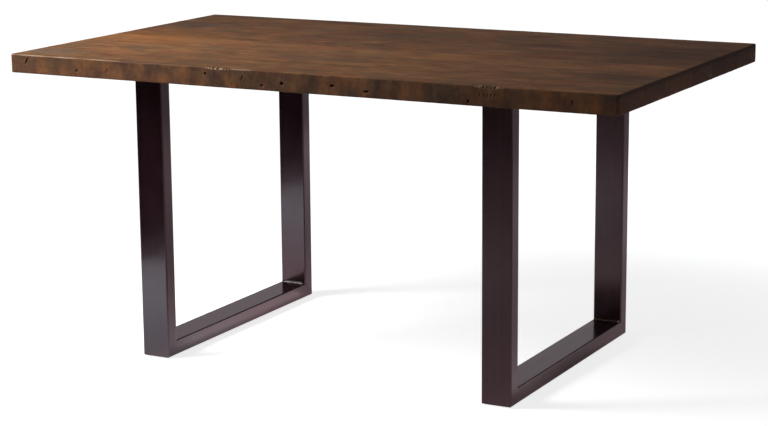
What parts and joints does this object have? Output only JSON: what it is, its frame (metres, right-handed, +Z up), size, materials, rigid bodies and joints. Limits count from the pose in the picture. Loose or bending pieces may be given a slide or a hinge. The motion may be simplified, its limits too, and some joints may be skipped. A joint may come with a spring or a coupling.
{
  "type": "dining table",
  "caption": "Long rustic dining table: a thick, worn plank top screwed to open sled frames of mitred rectangular steel tube.",
  "frame": {"origin": "on the floor, under the middle of the table", "axes": "+X along the length to the right-hand end seen from the front, +Y to the back, +Z up"},
  "size_m": [1.6, 0.94, 0.762],
  "materials": {
    "board_wood": "dark stained and waxed solid timber, worn edges",
    "spline_wood": "bare beech strip",
    "frame_steel": "semi-gloss dark bronze lacquer on steel tube",
    "weld_metal": "lacquered weld bead",
    "zinc_steel": "bright zinc plated",
    "glide_nylon": "moulded black nylon"
  },
  "bodies": {
    "root": {"top_board_front": "board_wood", "top_board_2": "board_wood", "top_board_3": "board_wood", "top_board_4": "board_wood", "top_board_5": "board_wood", "top_board_back": "board_wood", "top_spline_1": "spline_wood", "top_spline_2": "spline_wood", "top_spline_3": "spline_wood", "top_spline_4": "spline_wood", "top_spline_5": "spline_wood", "left_front_leg": "frame_steel", "left_rear_leg": "frame_steel", "left_floor_rail": "frame_steel", "left_mounting_plate": "frame_steel", "left_corner_welds": "weld_metal", "left_plate_welds": "weld_metal", "left_glides": "glide_nylon", "left_screws": "zinc_steel", "left_washers": "zinc_steel", "right_front_leg": "frame_steel", "right_rear_leg": "frame_steel", "right_floor_rail": "frame_steel", "right_mounting_plate": "frame_steel", "right_corner_welds": "weld_metal", "right_plate_welds": "weld_metal", "right_glides": "glide_nylon", "right_screws": "zinc_steel", "right_washers": "zinc_steel"}
  },
  "joints": []
}
